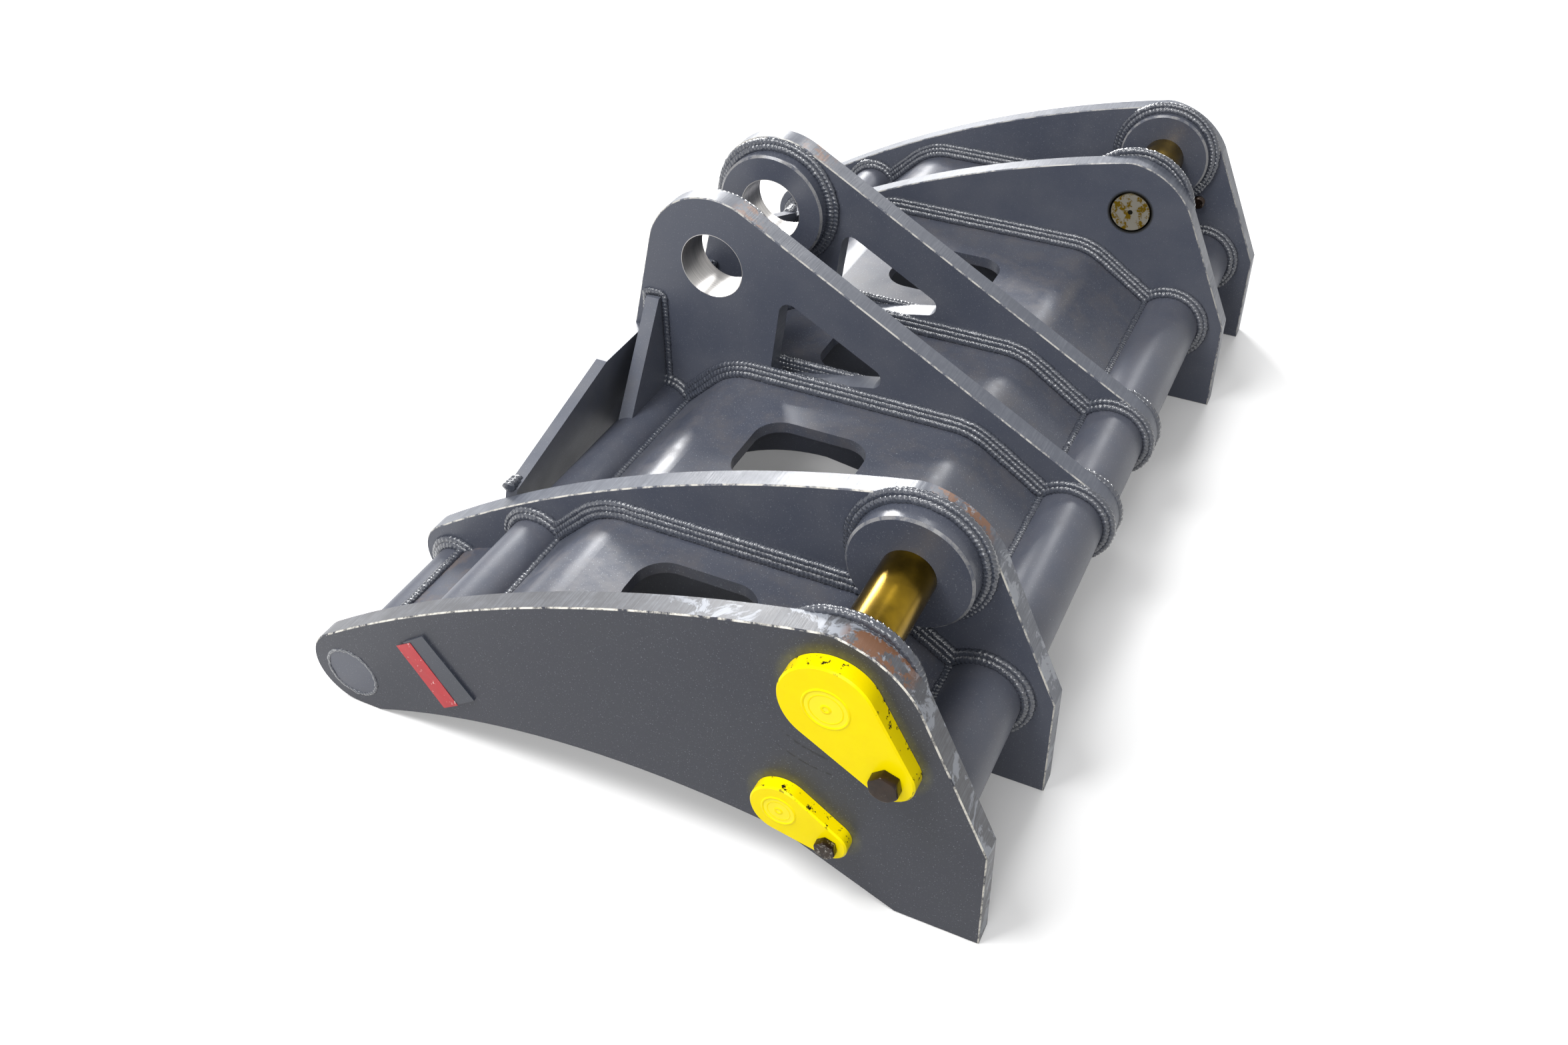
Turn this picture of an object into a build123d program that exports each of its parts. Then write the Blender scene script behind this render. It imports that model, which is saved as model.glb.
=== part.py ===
# Wheel loader quick coupler, lying on the lower edges of its side plates.
# X runs along the plates from the hook bars to the toes, Y runs across the
# coupler, and Z is up. The origin is on the floor, below the middle of the box.
from build123d import *
import os
from math import acos, asin, atan2, cos, degrees, dist, radians, sin, tan

os.makedirs("parts", exist_ok=True)

# Widths across the coupler
overall_width = 1375.0
side_thickness = 30.0
arm_pitch = 230.0
ear_thickness = 30.0
ear_clear_width = 175.0
fit_gap = 0.05

# Axes that run across the coupler, as X and Z
arm_pin_axis = (267.0, 307.0)
lock_pin_axis = (213.0, 121.0)
tilt_axis = (-165.6, 387.5)
toe_tube_axis = (354.5, 135.0)
rear_tube_axis = (-245.0, 144.0)
hook_bar_axis = (-385.0, 54.0)

# Tubes and bars
toe_tube_radius = 47.5
toe_tube_wall = 10.0
rear_tube_radius = 38.0
rear_tube_wall = 8.0
hook_bar_radius = 30.0
hook_bar_head_radius = 37.0

# Side plates
end_radius = 57.5
end_x = -384.0
top_left = (-416.1, 105.2)
top_middle = (-102.0, 276.4)
top_right = (257.0, 386.0)
shoulder_middle = (313.8, 367.6)
shoulder_end = (355.4, 324.0)
kink = (438.0, 146.0)
toe_tip_x = 441.5
toe_flat_x = 344.0
arch_right = (205.0, 67.5)
arch_top = (-23.0, 76.5)
arch_left_x = -354.0
shoulder_fillet = 50.0
arch_fillet = 30.0
edge_chamfer = 1.5

# Bosses
outer_boss_radius = 71.5
outer_boss_height = 20.0
inner_boss_radius = 75.0
inner_boss_height = 35.0
tilt_boss_radius = 80.0
tilt_boss_height = 28.0
tilt_bore_radius = 45.0
boss_chamfer = 3.0

# Tilt ears
ear_top_radius = 97.0
ear_nose_radius = 60.0
ear_top_middle_angle = 110.0
ear_nose_middle_angle = -15.0
rear_lean = 13.0
ear_foot_z = 62.0
ear_arch_start_x = -171.0
ear_arch_middle = (-73.0, 113.0)
ear_arch_top = (5.0, 125.0)
ear_window = [(-63.7, 365.6), (108.8, 268.6), (-83.5, 229.1)]
ear_window_radius = 15.0

# Formed deck plates
deck_thickness = 16.0
deck_height = 231.0
deck_rear_angle = 44.0
deck_rear_bend_x = -137.5
deck_front_bend_x = 212.0
deck_bend_radius = 80.0
window_length = 155.0
window_x = 31.0
window_corner = 38.0
arm_window_width = 98.0
wide_window_width = 134.0
wide_window_y = 265.5
middle_window_width = 113.0

# Back plates
back_thickness = 16.0
back_top_z = 269.0
back_low_z = 187.0
back_bottom_z = 100.0
back_knee_y = 222.0

# Gussets beside the ears
gusset_thickness = 20.0
gusset_rear_x = -266.0
gusset_top_z = 322.0
gusset_top_width = 8.0
gusset_foot_width = 108.0
gusset_foot_z = 172.0

# Webs between hook bar and rear tube
web_thickness = 12.0
web_start = (-385.0, 78.0)
web_slope = 22.0
web_length = 140.0

# Plain pad on the left outer plate
pad_centre = (-238.0, 122.0)
pad_size = (100.0, 40.0)
pad_angle = -54.5
pad_thickness = 3.0

# Pins, keepers and keeper bolts
seat_gap = 0.5
arm_pin_radius = 32.5
lock_pin_radius = 25.0
pin_chamfer = 3.0
arm_keeper = {"thickness": 20.0, "big": 54.0, "small": 29.0, "bolt": (67.0, -72.0), "plug": 25.0}
lock_keeper = {"thickness": 16.0, "big": 35.0, "small": 22.0, "bolt": (57.0, -26.0), "plug": 19.0}
arm_bolt = {"radius": 10.0, "head_width": 30.0, "head_height": 12.5, "tail": 12.0}
lock_bolt = {"radius": 7.0, "head_width": 22.0, "head_height": 9.0, "tail": 8.0}
keeper_chamfer = 2.0
bolt_chamfer = 1.5

# Places across the coupler, on the left half; the right half mirrors them
outer_face = -overall_width / 2
outer_inside = outer_face + side_thickness
inner_face = outer_face + arm_pitch
inner_inside = inner_face + side_thickness
ear_inside = -ear_clear_width / 2
ear_face = ear_inside - ear_thickness


def across(y):
    """The upright sketch plane at y, with local x along X and local y up."""
    return Plane.XZ.offset(-y)


def polar(centre, radius, angle):
    """The point at an angle in degrees on a circle about centre."""
    return (centre[0] + radius * cos(radians(angle)), centre[1] + radius * sin(radians(angle)))


def save(piece, name, mirrored=False):
    """Label and write one piece, or its mirror image on the other side."""
    shape = mirror(piece.part, about=Plane.XZ) if mirrored else piece.part
    shape.label = name
    export_step(shape, f"parts/{name}.step")


def save_pair(piece, name):
    """Write a piece of the left half, and its twin on the right half."""
    save(piece, f"left_{name}")
    save(piece, f"right_{name}", mirrored=True)


def bolt_place(pin_axis, keeper):
    """The axis of a keeper's bolt, from its pin's axis."""
    return (pin_axis[0] + keeper["bolt"][0], pin_axis[1] + keeper["bolt"][1])


# Side plates: one outline for all four
def side_plate(y, holes):
    """A banana-shaped side plate whose left face is at y, with round holes."""
    with BuildPart() as plate:
        with BuildSketch(across(y)) as outline:
            with BuildLine():
                ThreePointArc(top_left, top_middle, top_right)
                ThreePointArc(top_right, shoulder_middle, shoulder_end)
                Polyline(shoulder_end, kink, (toe_tip_x, 0), (toe_flat_x, 0), arch_right)
                ThreePointArc(arch_right, arch_top, (arch_left_x, 0))
                Line((arch_left_x, 0), (end_x, 0))
                ThreePointArc((end_x, 0), (end_x - end_radius, end_radius), top_left)
            make_face()
            fillet(outline.vertices().sort_by_distance((*top_right, 0))[0], radius=shoulder_fillet)
            fillet(outline.vertices().sort_by_distance((*arch_right, 0))[0], radius=arch_fillet)
        extrude(amount=-side_thickness)
        chamfer(plate.edges().filter_by(Plane.XZ), length=edge_chamfer)
        with BuildSketch(across(y)):
            for centre, radius in holes:
                with Locations(centre):
                    Circle(radius)
        extrude(amount=-side_thickness, mode=Mode.SUBTRACT)
    return plate


pin_holes = [
    (arm_pin_axis, arm_pin_radius + fit_gap),
    (lock_pin_axis, lock_pin_radius + fit_gap),
]
bolt_holes = [
    (bolt_place(arm_pin_axis, arm_keeper), arm_bolt["radius"] + fit_gap),
    (bolt_place(lock_pin_axis, lock_keeper), lock_bolt["radius"] + fit_gap),
]
tube_holes = [
    (toe_tube_axis, toe_tube_radius + fit_gap),
    (rear_tube_axis, rear_tube_radius + fit_gap),
]
outer_holes = pin_holes + bolt_holes + [(hook_bar_axis, hook_bar_head_radius + fit_gap)]
inner_holes = pin_holes + tube_holes + [(hook_bar_axis, hook_bar_radius + fit_gap)]
save_pair(side_plate(outer_face, outer_holes), "outer_plate")
save_pair(side_plate(inner_face, inner_holes), "inner_plate")


# Turned bosses round the arm pins and the tilt bore
def boss(y, centre, radius, height, bore):
    """A ring from y towards +Y, or towards -Y where height is negative."""
    with BuildPart() as ring:
        with BuildSketch(across(y)):
            with Locations(centre):
                Circle(radius)
                Circle(bore, mode=Mode.SUBTRACT)
        extrude(amount=-height)
        rims = ring.edges().filter_by(GeomType.CIRCLE).sort_by(Axis.Y, reverse=height < 0)
        outer_rim = rims.filter_by(lambda e: e.radius > bore + 1)[-1]
        chamfer(outer_rim, length=boss_chamfer)
    return ring


arm_bore = arm_pin_radius + fit_gap
outer_boss = boss(outer_inside, arm_pin_axis, outer_boss_radius, outer_boss_height, arm_bore)
inner_boss = boss(inner_face, arm_pin_axis, inner_boss_radius, -inner_boss_height, arm_bore)
tilt_boss = boss(ear_inside, tilt_axis, tilt_boss_radius, tilt_boss_height, tilt_bore_radius)
save_pair(outer_boss, "outer_arm_boss")
save_pair(inner_boss, "inner_arm_boss")
save_pair(tilt_boss, "tilt_boss")


# Tilt ears: a bored head, a straight leaning back, a long slope and a nose round the toe tube
rear_normal = 180.0 - rear_lean
ear_back_top = polar(tilt_axis, ear_top_radius, rear_normal)
centre_angle = degrees(atan2(toe_tube_axis[1] - tilt_axis[1], toe_tube_axis[0] - tilt_axis[0]))
centre_gap = dist(tilt_axis, toe_tube_axis)
slope_normal = centre_angle + degrees(acos((ear_top_radius - ear_nose_radius) / centre_gap))
arch_angle = degrees(atan2(toe_tube_axis[1] - ear_arch_top[1], toe_tube_axis[0] - ear_arch_top[0]))
arch_gap = dist(ear_arch_top, toe_tube_axis)
nose_low_normal = arch_angle - degrees(asin(ear_nose_radius / arch_gap)) - 90.0


def back_x(z):
    """X of the ears' rear edge, which is also the back plates' rear face."""
    return ear_back_top[0] - (ear_back_top[1] - z) * tan(radians(rear_lean))


with BuildPart() as tilt_ear:
    with BuildSketch(across(ear_face)):
        with BuildLine():
            slope_top = polar(tilt_axis, ear_top_radius, slope_normal)
            slope_end = polar(toe_tube_axis, ear_nose_radius, slope_normal)
            nose_low = polar(toe_tube_axis, ear_nose_radius, nose_low_normal)
            foot = (back_x(ear_foot_z), ear_foot_z)
            top_middle_point = polar(tilt_axis, ear_top_radius, ear_top_middle_angle)
            ThreePointArc(ear_back_top, top_middle_point, slope_top)
            Line(slope_top, slope_end)
            nose_middle = polar(toe_tube_axis, ear_nose_radius, ear_nose_middle_angle)
            ThreePointArc(slope_end, nose_middle, nose_low)
            Line(nose_low, ear_arch_top)
            ThreePointArc(ear_arch_top, ear_arch_middle, (ear_arch_start_x, ear_foot_z))
            Polyline((ear_arch_start_x, ear_foot_z), foot, ear_back_top)
        make_face()
    extrude(amount=-ear_thickness)
    chamfer(tilt_ear.edges().filter_by(Plane.XZ), length=edge_chamfer)
    with BuildSketch(across(ear_face)) as ear_cuts:
        with BuildLine():
            Polyline(*ear_window, close=True)
        make_face()
        fillet(ear_cuts.vertices(), radius=ear_window_radius)
        for centre, radius in tube_holes + [(tilt_axis, tilt_bore_radius)]:
            with Locations(centre):
                Circle(radius)
    extrude(amount=-ear_thickness, mode=Mode.SUBTRACT)
save_pair(tilt_ear, "tilt_ear")


# Tubes from outer plate to outer plate, through the inner plates and ears
def cross_tube(centre, radius, wall):
    """A hollow tube between the inside faces of the outer plates."""
    with BuildPart() as tube:
        with BuildSketch(across(outer_inside)):
            with Locations(centre):
                Circle(radius)
                Circle(radius - wall, mode=Mode.SUBTRACT)
        extrude(amount=2 * outer_inside)
    return tube


save(cross_tube(toe_tube_axis, toe_tube_radius, toe_tube_wall), "toe_tube")
save(cross_tube(rear_tube_axis, rear_tube_radius, rear_tube_wall), "rear_tube")

# Hook bars, with a wider head set flush in the outer plate
with BuildPart() as hook_bar:
    with BuildSketch(across(outer_face)):
        with Locations(hook_bar_axis):
            Circle(hook_bar_head_radius)
    extrude(amount=-side_thickness)
    with BuildSketch(across(outer_inside)):
        with Locations(hook_bar_axis):
            Circle(hook_bar_radius)
    extrude(amount=-(inner_inside - outer_inside))
save_pair(hook_bar, "hook_bar")


def round_notch(centre, radius):
    """A cylinder right across the coupler, to notch the plates welded to a tube."""
    with BuildPart() as cutter:
        with BuildSketch(across(outer_face)):
            with Locations(centre):
                Circle(radius + fit_gap)
        extrude(amount=-overall_width)
    return cutter.part


toe_tube_notch = round_notch(toe_tube_axis, toe_tube_radius)
rear_tube_notch = round_notch(rear_tube_axis, rear_tube_radius)
hook_bar_notch = round_notch(hook_bar_axis, hook_bar_radius)


# Formed deck plates, bent twice between the tubes, with a rounded window in each bay
deck_rear = (
    deck_rear_bend_x - (deck_height - rear_tube_axis[1]) / tan(radians(deck_rear_angle)),
    rear_tube_axis[1],
)


def deck_plate(y, width, window_width, window_y):
    """The deck of the bay that starts at y, with its window centred at window_y."""
    with BuildPart() as deck:
        with BuildSketch(across(y)):
            with BuildLine():
                FilletPolyline(
                    deck_rear,
                    (deck_rear_bend_x, deck_height),
                    (deck_front_bend_x, deck_height),
                    toe_tube_axis,
                    radius=deck_bend_radius,
                )
                offset(amount=deck_thickness, side=Side.RIGHT)
            make_face()
        extrude(amount=-width)
        with BuildSketch(Plane.XY.offset(deck_height)):
            with Locations((window_x, window_y)):
                RectangleRounded(window_length, window_width, window_corner)
        extrude(amount=-2 * deck_thickness, mode=Mode.SUBTRACT)
        add([toe_tube_notch, rear_tube_notch], mode=Mode.SUBTRACT)
    return deck


arm_bay = inner_face - outer_inside
arm_bay_middle = (outer_inside + inner_face) / 2
wide_bay = ear_face - inner_inside
save_pair(deck_plate(outer_inside, arm_bay, arm_window_width, arm_bay_middle), "arm_deck")
save_pair(deck_plate(inner_inside, wide_bay, wide_window_width, -wide_window_y), "wide_deck")
save(deck_plate(ear_inside, ear_clear_width, middle_window_width, 0), "middle_deck")

# Back plates: the side ones slope down from the ears to the inner plates
back_step = back_thickness / cos(radians(rear_lean))
back_section = [
    (back_x(back_bottom_z), back_bottom_z),
    (back_x(back_top_z), back_top_z),
    (back_x(back_top_z) + back_step, back_top_z),
    (back_x(back_bottom_z) + back_step, back_bottom_z),
]
with BuildPart() as middle_back:
    with BuildSketch(across(ear_inside)):
        with BuildLine():
            Polyline(*back_section, close=True)
        make_face()
    extrude(amount=-ear_clear_width)
save(middle_back, "middle_back_plate")

with BuildPart() as side_back:
    with BuildSketch(across(inner_inside)):
        with BuildLine():
            Polyline(*back_section, close=True)
        make_face()
    extrude(amount=-wide_bay)
    with BuildSketch(Plane.YZ.offset(back_x(back_bottom_z) - back_step)):
        with BuildLine():
            Polyline(
                (inner_inside, back_low_z),
                (-back_knee_y, back_top_z),
                (inner_inside, back_top_z),
                close=True,
            )
        make_face()
    extrude(amount=3 * back_step + back_top_z * tan(radians(rear_lean)), mode=Mode.SUBTRACT)
save_pair(side_back, "back_plate")

# Gussets that stand on the rear tube against the ears' outer faces
with BuildPart() as gusset:
    with BuildSketch(Plane.YZ.offset(gusset_rear_x)):
        with BuildLine():
            Polyline(
                (ear_face, gusset_top_z),
                (ear_face, rear_tube_axis[1]),
                (ear_face - gusset_foot_width, rear_tube_axis[1]),
                (ear_face - gusset_foot_width, gusset_foot_z),
                (ear_face - gusset_top_width, gusset_top_z),
                close=True,
            )
        make_face()
    extrude(amount=gusset_thickness)
    add(rear_tube_notch, mode=Mode.SUBTRACT)
save_pair(gusset, "ear_gusset")

# Webs that close the gap between hook bar and rear tube
with BuildPart() as hook_web:
    with BuildSketch(across(outer_inside)):
        with BuildLine():
            PolarLine(web_start, web_length, web_slope)
            offset(amount=web_thickness, side=Side.RIGHT)
        make_face()
    extrude(amount=-arm_bay)
    add([hook_bar_notch, rear_tube_notch], mode=Mode.SUBTRACT)
save_pair(hook_web, "hook_web")

# A plain raised pad on the left outer plate
with BuildPart() as plain_pad:
    with BuildSketch(across(outer_face)):
        with Locations(pad_centre):
            Rectangle(*pad_size, rotation=pad_angle)
    extrude(amount=pad_thickness)
save(plain_pad, "plain_pad")


# Pins, with a plug that fills the keeper's hole, and the keepers welded to them
def pin(axis, radius, keeper):
    """A pin from its keeper to the inside of the inner plate."""
    with BuildPart() as shaft:
        with BuildSketch(across(outer_face - seat_gap)):
            with Locations(axis):
                Circle(radius)
        extrude(amount=-(inner_inside - outer_face + seat_gap))
        chamfer(shaft.faces().sort_by(Axis.Y)[-1].edges(), length=pin_chamfer)
        with BuildSketch(across(outer_face - seat_gap)):
            with Locations(axis):
                Circle(keeper["plug"])
        extrude(amount=keeper["thickness"])
    return shaft


def keeper_plate(axis, keeper, bolt):
    """A tear-shaped keeper plate round the pin's plug, with its bolt's hole."""
    place = bolt_place(axis, keeper)
    with BuildPart() as plate:
        with BuildSketch(across(outer_face - seat_gap)):
            with Locations(axis):
                Circle(keeper["big"])
            with Locations(place):
                Circle(keeper["small"])
            make_hull()
        extrude(amount=keeper["thickness"])
        front = plate.faces().sort_by(Axis.Y)[0]
        chamfer(front.edges(), length=keeper_chamfer)
        with BuildSketch(across(outer_face - seat_gap)):
            with Locations(axis):
                Circle(keeper["plug"] + fit_gap)
            with Locations(place):
                Circle(bolt["radius"] + fit_gap)
        extrude(amount=keeper["thickness"], mode=Mode.SUBTRACT)
    return plate


def keeper_bolt(axis, keeper, bolt):
    """A hexagon bolt through the keeper and the outer plate."""
    head_y = outer_face - 2 * seat_gap - keeper["thickness"]
    shank = outer_inside + bolt["tail"] - head_y
    with BuildPart() as screw:
        with BuildSketch(across(head_y)):
            with Locations(bolt_place(axis, keeper)):
                RegularPolygon(bolt["head_width"] / 2, 6, major_radius=False)
        extrude(amount=bolt["head_height"])
        with BuildSketch(across(head_y)):
            with Locations(bolt_place(axis, keeper)):
                Circle(bolt["radius"])
        extrude(amount=-shank)
        chamfer(screw.faces().sort_by(Axis.Y)[-1].edges(), length=bolt_chamfer)
    return screw


pin_sets = {
    "arm": (arm_pin_axis, arm_pin_radius, arm_keeper, arm_bolt),
    "lock": (lock_pin_axis, lock_pin_radius, lock_keeper, lock_bolt),
}
for kind, (axis, radius, keeper, bolt) in pin_sets.items():
    save_pair(pin(axis, radius, keeper), f"{kind}_pin")
    save_pair(keeper_plate(axis, keeper, bolt), f"{kind}_keeper")
    save_pair(keeper_bolt(axis, keeper, bolt), f"{kind}_keeper_bolt")
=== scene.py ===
from math import atan2, cos, dist, pi, radians, sin, sqrt, tan

import bpy
from mathutils import Euler, Matrix, Vector


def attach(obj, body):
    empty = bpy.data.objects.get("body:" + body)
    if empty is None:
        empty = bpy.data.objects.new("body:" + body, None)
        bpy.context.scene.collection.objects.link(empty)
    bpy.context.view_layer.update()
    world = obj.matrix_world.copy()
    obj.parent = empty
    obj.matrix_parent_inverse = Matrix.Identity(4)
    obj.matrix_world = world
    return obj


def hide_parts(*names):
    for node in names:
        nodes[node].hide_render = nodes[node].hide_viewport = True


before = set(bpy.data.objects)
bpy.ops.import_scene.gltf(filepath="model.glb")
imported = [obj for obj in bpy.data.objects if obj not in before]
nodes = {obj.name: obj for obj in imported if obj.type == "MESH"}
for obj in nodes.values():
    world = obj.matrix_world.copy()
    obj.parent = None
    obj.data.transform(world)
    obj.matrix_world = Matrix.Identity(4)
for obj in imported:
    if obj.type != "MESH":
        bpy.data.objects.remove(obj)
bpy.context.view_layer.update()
print("packed frame loaded:", len(nodes), "nodes")

# camera where the photographer stood: above the left rear of the coupler
cameraSetup = {
    "place": (0.6286, -1.5437, 1.2935),
    "azimuth": 25.83,
    "elevation": 39.59,
    "roll": -0.425,
    "lens": 31.76,
}
bpy.ops.object.camera_add(location=cameraSetup["place"])
camera = bpy.context.object
looking = Euler((radians(90 - cameraSetup["elevation"]), 0, radians(cameraSetup["azimuth"]))).to_matrix()
camera.rotation_euler = (looking @ Matrix.Rotation(radians(cameraSetup["roll"]), 3, "Z")).to_euler()
camera.data.lens = cameraSetup["lens"]
camera.data.sensor_width = 36.0
bpy.context.scene.camera = camera

# where the coupler's plates, bores and tubes are, in millimetres
couplerPlan = {
    "outerFace": 687.5,
    "outerInside": 657.5,
    "innerFace": 457.5,
    "innerInside": 427.5,
    "earFace": 117.5,
    "earInside": 87.5,
    "armPin": (267.0, 307.0),
    "lockPin": (213.0, 121.0),
    "armBolt": (334.0, 235.0),
    "lockBolt": (270.0, 95.0),
    "tiltBore": (-165.6, 387.5),
    "toeTube": (354.5, 135.0),
    "rearTube": (-245.0, 144.0),
    "hookBar": (-385.0, 54.0),
}


# an sRGB hex colour as linear red, green, blue and alpha
def linearColour(code):
    parts = [int(code[i:i + 2], 16) / 255 for i in (1, 3, 5)]
    return tuple(c / 12.92 if c <= 0.04045 else ((c + 0.055) / 1.055) ** 2.4 for c in parts) + (1.0,)


# one shader node with its settings and its links
def addNode(tree, kind, settings=None, links=None):
    node = tree.nodes.new("ShaderNode" + kind)
    for name, value in (settings or {}).items():
        if isinstance(name, str) and name in node.bl_rna.properties:
            setattr(node, name, value)
        else:
            node.inputs[name].default_value = value
    for name, socket in (links or {}).items():
        tree.links.new(socket, node.inputs[name])
    return node


def newMaterial(name, shaderSettings):
    material = bpy.data.materials.new(name)
    material.use_nodes = True
    tree = material.node_tree
    shader = tree.nodes["Principled BSDF"]
    for socket, value in shaderSettings.items():
        shader.inputs[socket].default_value = value
    return material, tree, shader, addNode(tree, "TexCoord")


# distance in metres from an axis that runs across the coupler, as a socket
def distanceFromAxis(tree, spot, axis):
    flat = addNode(tree, "VectorMath", {"operation": "MULTIPLY", 1: (1, 0, 1)}, {0: spot})
    centre = (axis[0] / 1000, 0, axis[1] / 1000)
    return addNode(tree, "VectorMath", {"operation": "DISTANCE", 1: centre}, {0: flat.outputs[0]}).outputs["Value"]


# Semi-gloss enamel sprayed over hot-rolled and flame-cut steel: orange peel, dull clouds,
# dust specks, thin paint on the flame-cut rims, paler partly as painted sheen, rust and bare scrapes.
# The sizes are in millimetres. Orange peel is really 2 mm and is drawn at 5 mm.
frameEnamelLook = {
    "paint": "#474B57",
    "dull": "#4E515B",
    "speck": "#8F949C",
    "speckShare": 0.10,
    "cloudSize": 90.0,
    "peelSize": 5.0,
    "peelDepth": 0.10,
    "bumpStrength": 0.5,
    "roughness": 0.34,
    "roughnessDull": 0.46,
    "coat": 0.0,
    "specular": 0.5,
    "rim": 0.0,
    "rimPaint": "#50545E",
    "rimBare": "#8F939B",
    "rimShare": 0.35,
    "worn": "#D6D2C8",
    "striationPitch": 2.6,
    "rustSpan": None,
    "rust": "#74533F",
    "scrapeFrom": None,
    "dust": "#6B665F",
    "dustShare": 0.0,
    "wear": 0.0,
    "boreAxis": None,
    "boreRadius": 46.0,
    "gapAxis": None,
    "gapRadii": (33.5, 36.5),
    "halos": (),
    "haloPaint": "#77753F",
    "scuffs": (),
}


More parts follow.
